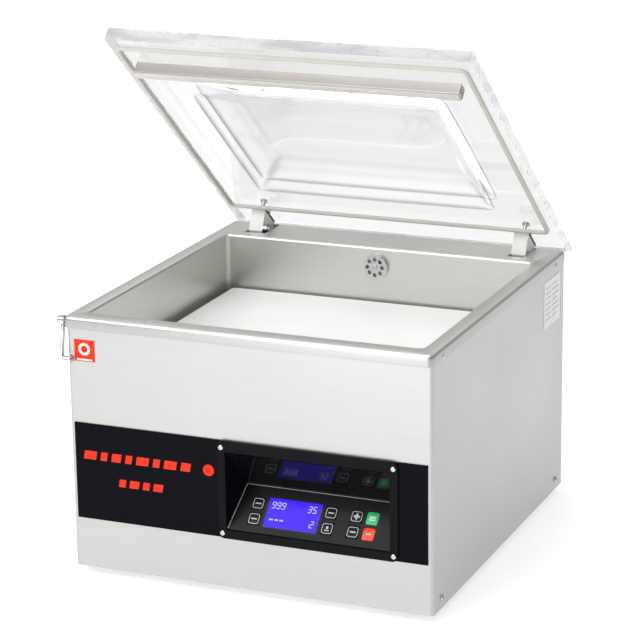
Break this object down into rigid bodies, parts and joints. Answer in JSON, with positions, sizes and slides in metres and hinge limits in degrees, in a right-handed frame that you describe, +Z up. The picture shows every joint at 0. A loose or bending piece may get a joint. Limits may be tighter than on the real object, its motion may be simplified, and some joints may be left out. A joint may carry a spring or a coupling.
{
  "type": "vacuum packing machine",
  "caption": "Table-top vacuum packing machine: steel housing and chamber, clear domed lid standing open on rear hinges, sunken keypad in a black fascia",
  "frame": {"origin": "middle of the whole box in plan, on the plane the feet stand on, with the lid standing open", "axes": "+X to the right seen from the front, +Y from the front to the back, +Z up"},
  "size_m": [0.502, 0.5576, 0.6792],
  "materials": {
    "casing_steel": "brushed stainless sheet",
    "chamber_steel": "satin deep-drawn stainless",
    "zinc_steel": "zinc-plated pressed steel",
    "bright_steel": "polished",
    "cast_housing": "painted casting",
    "motor_paint": "ribbed painted casting",
    "copper_winding": "varnished windings and laminations",
    "black_fascia": "satin black",
    "black_gloss": "glossy black",
    "black_plastic": "moulded black",
    "black_rubber": "black rubber",
    "white_plastic": "white moulded or milled plastic",
    "label_paper": "printed label",
    "badge_red": "printed badge",
    "display_blue": "lit blue display",
    "key_green": "printed key",
    "key_red": "printed key",
    "board_green": "circuit board",
    "silicone": "beige silicone",
    "ptfe_band": "PTFE-coated glass cloth",
    "clear_acrylic": "clear cast acrylic",
    "amber_glass": "oil sight glass",
    "anodised": "satin anodised profile",
    "rocker_red": "lit rocker"
  },
  "bodies": {
    "casing": {"housing_shell": "casing_steel", "rear_panel": "casing_steel", "base_plate": "zinc_steel", "feet": "black_rubber", "top_rim": "casing_steel", "chamber_tub": "chamber_steel", "casing_screws": "bright_steel", "rating_label": "label_paper", "badge": "badge_red", "fascia": "black_fascia", "control_bezel": "black_plastic", "bezel_screws": "bright_steel", "keypad_panel": "black_plastic", "upper_window": "black_gloss", "display": "display_blue", "control_board": "board_green", "lift_cylinders": "cast_housing", "suction_cover": "bright_steel", "suction_screw": "bright_steel", "hinge_shaft": "bright_steel", "hinge_brackets": "zinc_steel", "gas_spring_anchor": "zinc_steel", "catch_pivot": "bright_steel", "pump_body": "cast_housing", "oil_case": "cast_housing", "sight_glass": "amber_glass", "pump_motor": "motor_paint", "fan_cover": "black_plastic", "vacuum_hose": "black_rubber", "valve_block": "anodised", "seal_transformer": "copper_winding", "power_inlet": "black_plastic"},
    "lid": {"lid_panel": "clear_acrylic", "lid_gasket": "silicone", "counter_bar": "anodised", "counter_strip": "silicone", "hinge_block_left": "white_plastic", "hinge_block_right": "white_plastic", "hinge_pads": "black_rubber", "hinge_bolts": "bright_steel", "gas_spring_stud": "bright_steel"},
    "spring_tube": {"gas_spring_tube": "black_plastic"},
    "spring_rod": {"gas_spring_rod": "bright_steel"},
    "sealing_bar": {"seal_bar": "anodised", "seal_band": "ptfe_band", "lift_pistons": "bright_steel"},
    "lower_plate": {"insert_plate_lower": "white_plastic"},
    "upper_plate": {"insert_plate_upper": "white_plastic"},
    "rotor": {"motor_rotor": "zinc_steel"},
    "rocker": {"power_switch": "rocker_red"},
    "catch": {"catch_rod": "bright_steel", "catch_tip": "black_rubber"},
    "key_1": {"key_1": "black_gloss"},
    "key_2": {"key_2": "black_gloss"},
    "key_3": {"key_3": "black_gloss"},
    "key_4": {"key_4": "black_gloss"},
    "key_5": {"key_5": "black_gloss"},
    "key_6": {"key_6": "black_gloss"},
    "key_7": {"key_7": "key_green"},
    "key_8": {"key_8": "key_red"}
  },
  "joints": [
    {"name": "lid_hinge", "type": "hinge", "parent": "casing", "child": "lid", "pos_m": [0.00525, 0.23046, 0.325], "axis": [1, 0, 0], "range_deg": [0, 40], "stiffness_Nm_per_rad": 14, "springref_deg": -57.3},
    {"name": "spring_tilt", "type": "hinge", "parent": "casing", "child": "spring_tube", "pos_m": [-0.17345, 0.20326, 0.17491], "axis": [1, 0, 0], "range_deg": [0, 2.27]},
    {"name": "spring_stroke", "type": "slide", "parent": "spring_tube", "child": "spring_rod", "axis": [0, 0, -1], "range_m": [0, 0.02185]},
    {"name": "seal_bar_lift", "type": "slide", "parent": "casing", "child": "sealing_bar", "axis": [0, 0, 1], "range_m": [0, 0.008], "stiffness_N_per_m": 400, "springref_m": -0.02},
    {"name": "lower_plate_lift", "type": "slide", "parent": "casing", "child": "lower_plate", "axis": [0, 0, -1], "range_m": [-0.07, 0]},
    {"name": "upper_plate_lift", "type": "slide", "parent": "lower_plate", "child": "upper_plate", "axis": [0, 0, -1], "range_m": [-0.06, 0]},
    {"name": "motor_spin", "type": "hinge", "parent": "casing", "child": "rotor", "pos_m": [-0.03975, 0.14946, 0.095], "axis": [1, 0, 0], "continuous": true},
    {"name": "rocker_tip", "type": "hinge", "parent": "casing", "child": "rocker", "pos_m": [-0.16675, 0.23746, 0.07], "axis": [1, 0, 0], "range_deg": [0, 20]},
    {"name": "catch_swing", "type": "hinge", "parent": "casing", "child": "catch", "pos_m": [-0.24405, -0.26554, 0.334], "axis": [1, 0, 0], "range_deg": [-230, 0]},
    {"name": "key_1_press", "type": "slide", "parent": "casing", "child": "key_1", "axis": [0, 0.7254, -0.6884], "range_m": [0, 0.0008], "stiffness_N_per_m": 500, "springref_m": -0.001},
    {"name": "key_2_press", "type": "slide", "parent": "casing", "child": "key_2", "axis": [0, 0.7254, -0.6884], "range_m": [0, 0.0008], "stiffness_N_per_m": 500, "springref_m": -0.001},
    {"name": "key_3_press", "type": "slide", "parent": "casing", "child": "key_3", "axis": [0, 0.7254, -0.6884], "range_m": [0, 0.0008], "stiffness_N_per_m": 500, "springref_m": -0.001},
    {"name": "key_4_press", "type": "slide", "parent": "casing", "child": "key_4", "axis": [0, 0.7254, -0.6884], "range_m": [0, 0.0008], "stiffness_N_per_m": 500, "springref_m": -0.001},
    {"name": "key_5_press", "type": "slide", "parent": "casing", "child": "key_5", "axis": [0, 0.7254, -0.6884], "range_m": [0, 0.0008], "stiffness_N_per_m": 500, "springref_m": -0.001},
    {"name": "key_6_press", "type": "slide", "parent": "casing", "child": "key_6", "axis": [0, 0.7254, -0.6884], "range_m": [0, 0.0008], "stiffness_N_per_m": 500, "springref_m": -0.001},
    {"name": "key_7_press", "type": "slide", "parent": "casing", "child": "key_7", "axis": [0, 0.7254, -0.6884], "range_m": [0, 0.0008], "stiffness_N_per_m": 500, "springref_m": -0.001},
    {"name": "key_8_press", "type": "slide", "parent": "casing", "child": "key_8", "axis": [0, 0.7254, -0.6884], "range_m": [0, 0.0008], "stiffness_N_per_m": 500, "springref_m": -0.001}
  ],
  "couplings": [
    {"joint": "spring_tilt", "follows": "lid_hinge", "ratio": 0.056378},
    {"joint": "spring_stroke", "follows": "lid_hinge", "m_per_rad": 0.031226}
  ]
}
